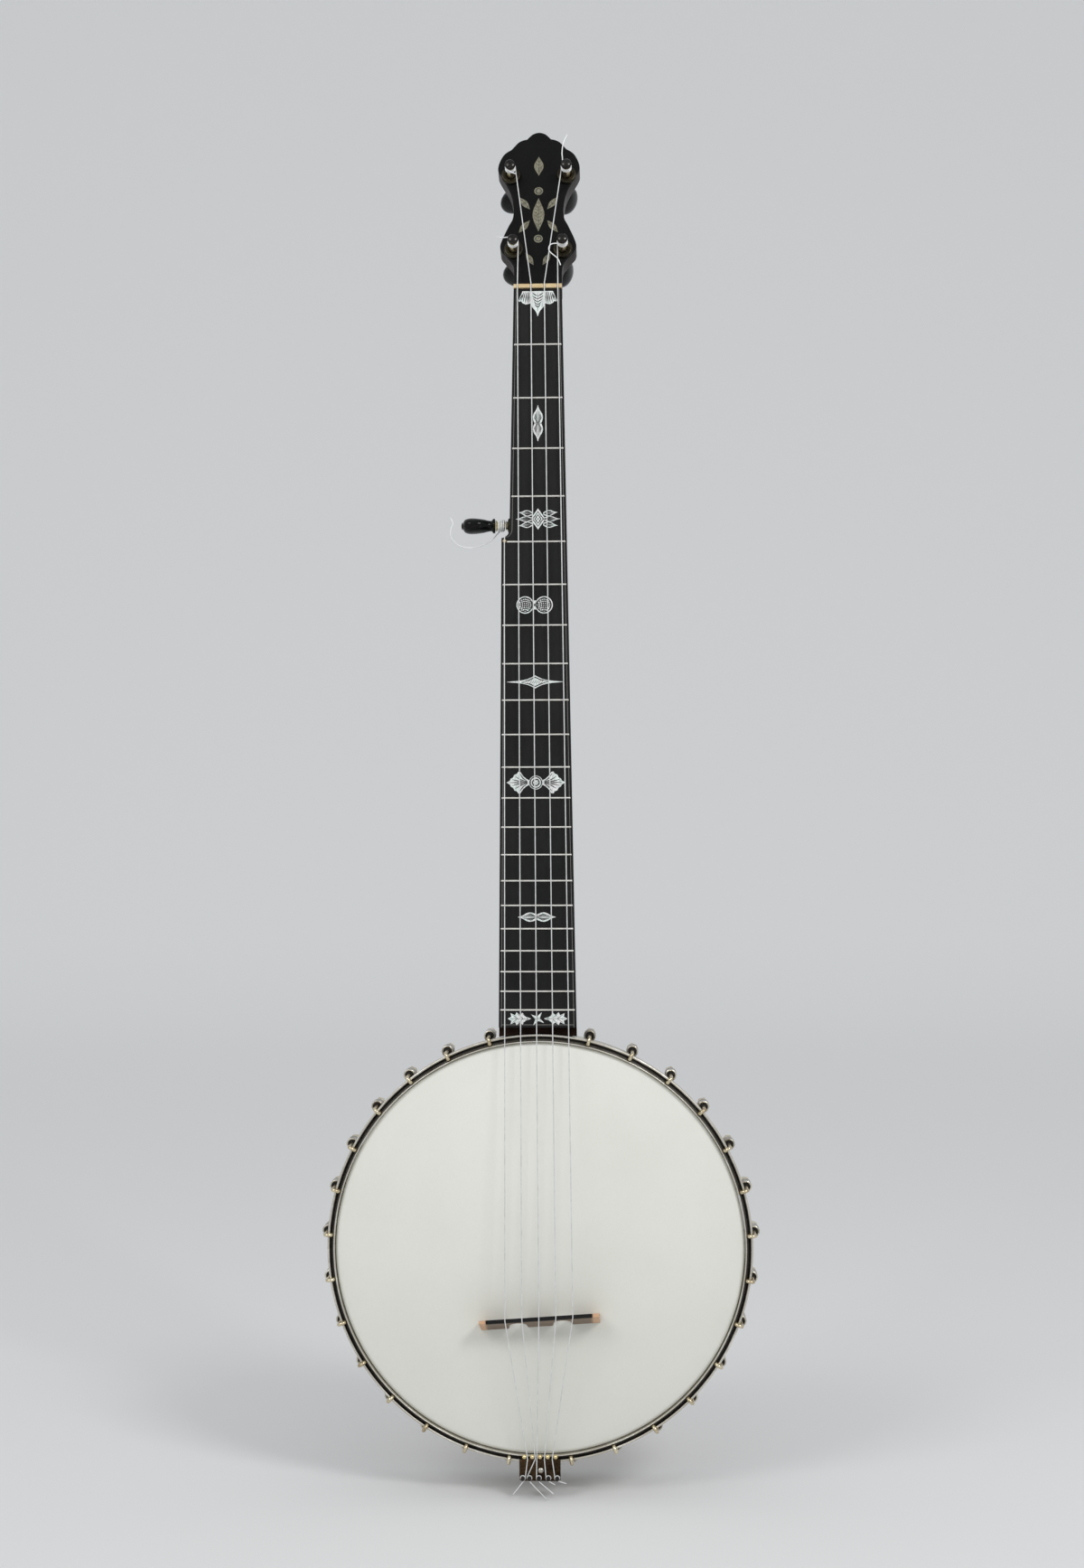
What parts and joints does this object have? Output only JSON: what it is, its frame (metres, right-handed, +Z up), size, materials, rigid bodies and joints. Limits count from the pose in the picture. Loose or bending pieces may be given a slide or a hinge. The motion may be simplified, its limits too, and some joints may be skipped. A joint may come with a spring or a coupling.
{
  "type": "open-back banjo",
  "caption": "Open-back banjo: long fretted neck with friction pegs, carved heel, white skin head drawn tight by hooks round a metal-clad wooden rim, dowel stick and bridge.",
  "frame": {"origin": "where a wall hanger's arms carry the neck under the peghead's shoulders, on the centre line, in the plane where the fingerboard meets the neck", "axes": "+Z up the neck, away from the pot; the head and the strings face -Y; +X is the side of the first string, away from the fifth string's peg"},
  "size_m": [0.2888, 0.1097, 0.9148],
  "materials": {
    "neck_wood": "stained and varnished, satin",
    "ebony": "ebonised, satin",
    "pearl": "mother of pearl, engraved",
    "nickel_silver": "nickel silver, aged, with brown tarnish in its corners",
    "brass": "lacquered, aged",
    "bone": "bone, yellowed",
    "maple": "varnished, satin",
    "skin": "calfskin, white and lightly rough",
    "gut": "nylon gut, translucent white",
    "black_knob": "black, polished",
    "dark_steel": "browned"
  },
  "bodies": {
    "banjo": {"bass_side_strip": "ebony", "brace_screw": "brass", "bridge": "maple", "bridge_cap": "ebony", "dowel_stick": "maple", "end_bolt": "brass", "fifth_string_pip": "bone", "fingerboard": "ebony", "flesh_hoop": "dark_steel", "head": "skin", "heel_cap": "ebony", "neck": "neck_wood", "neck_brace": "brass", "nut": "bone", "peg_1_ferrule": "nickel_silver", "peg_2_ferrule": "nickel_silver", "peg_3_ferrule": "nickel_silver", "peg_4_ferrule": "nickel_silver", "peg_5_ferrule": "nickel_silver", "peghead_overlay": "ebony", "rim": "maple", "rim_sheath": "nickel_silver", "string_1": "gut", "string_2": "gut", "string_3": "gut", "string_4": "gut", "string_5": "gut", "tailpiece": "brass", "tailpiece_bolt": "brass", "tailpiece_bracket": "brass", "tension_hoop": "nickel_silver", "tone_ring": "nickel_silver", "treble_side_strip": "ebony"},
    "peg_1": {"peg_1_post": "nickel_silver", "peg_1_knob": "black_knob", "peg_1_screw": "brass", "peg_1_winding": "gut"},
    "peg_2": {"peg_2_post": "nickel_silver", "peg_2_knob": "black_knob", "peg_2_screw": "brass", "peg_2_winding": "gut"},
    "peg_3": {"peg_3_post": "nickel_silver", "peg_3_knob": "black_knob", "peg_3_screw": "brass", "peg_3_winding": "gut"},
    "peg_4": {"peg_4_post": "nickel_silver", "peg_4_knob": "black_knob", "peg_4_screw": "brass", "peg_4_winding": "gut"},
    "peg_5": {"peg_5_post": "nickel_silver", "peg_5_knob": "black_knob", "peg_5_screw": "brass", "peg_5_winding": "gut"}
  },
  "joints": [
    {"name": "peg_1_turn", "type": "hinge", "parent": "banjo", "child": "peg_1", "pos_m": [0.0166, 0.0057, 0.01534], "axis": [0, -0.9613, 0.2756], "continuous": true},
    {"name": "peg_2_turn", "type": "hinge", "parent": "banjo", "child": "peg_2", "pos_m": [0.01901, 0.02155, 0.07061], "axis": [0, -0.9613, 0.2756], "continuous": true},
    {"name": "peg_3_turn", "type": "hinge", "parent": "banjo", "child": "peg_3", "pos_m": [-0.01901, 0.02155, 0.07061], "axis": [0, -0.9613, 0.2756], "continuous": true},
    {"name": "peg_4_turn", "type": "hinge", "parent": "banjo", "child": "peg_4", "pos_m": [-0.0166, 0.0057, 0.01534], "axis": [0, -0.9613, 0.2756], "continuous": true},
    {"name": "peg_5_turn", "type": "hinge", "parent": "banjo", "child": "peg_5", "pos_m": [-0.01898, -0.00449, -0.17348], "axis": [-1, 0, 0], "continuous": true}
  ]
}
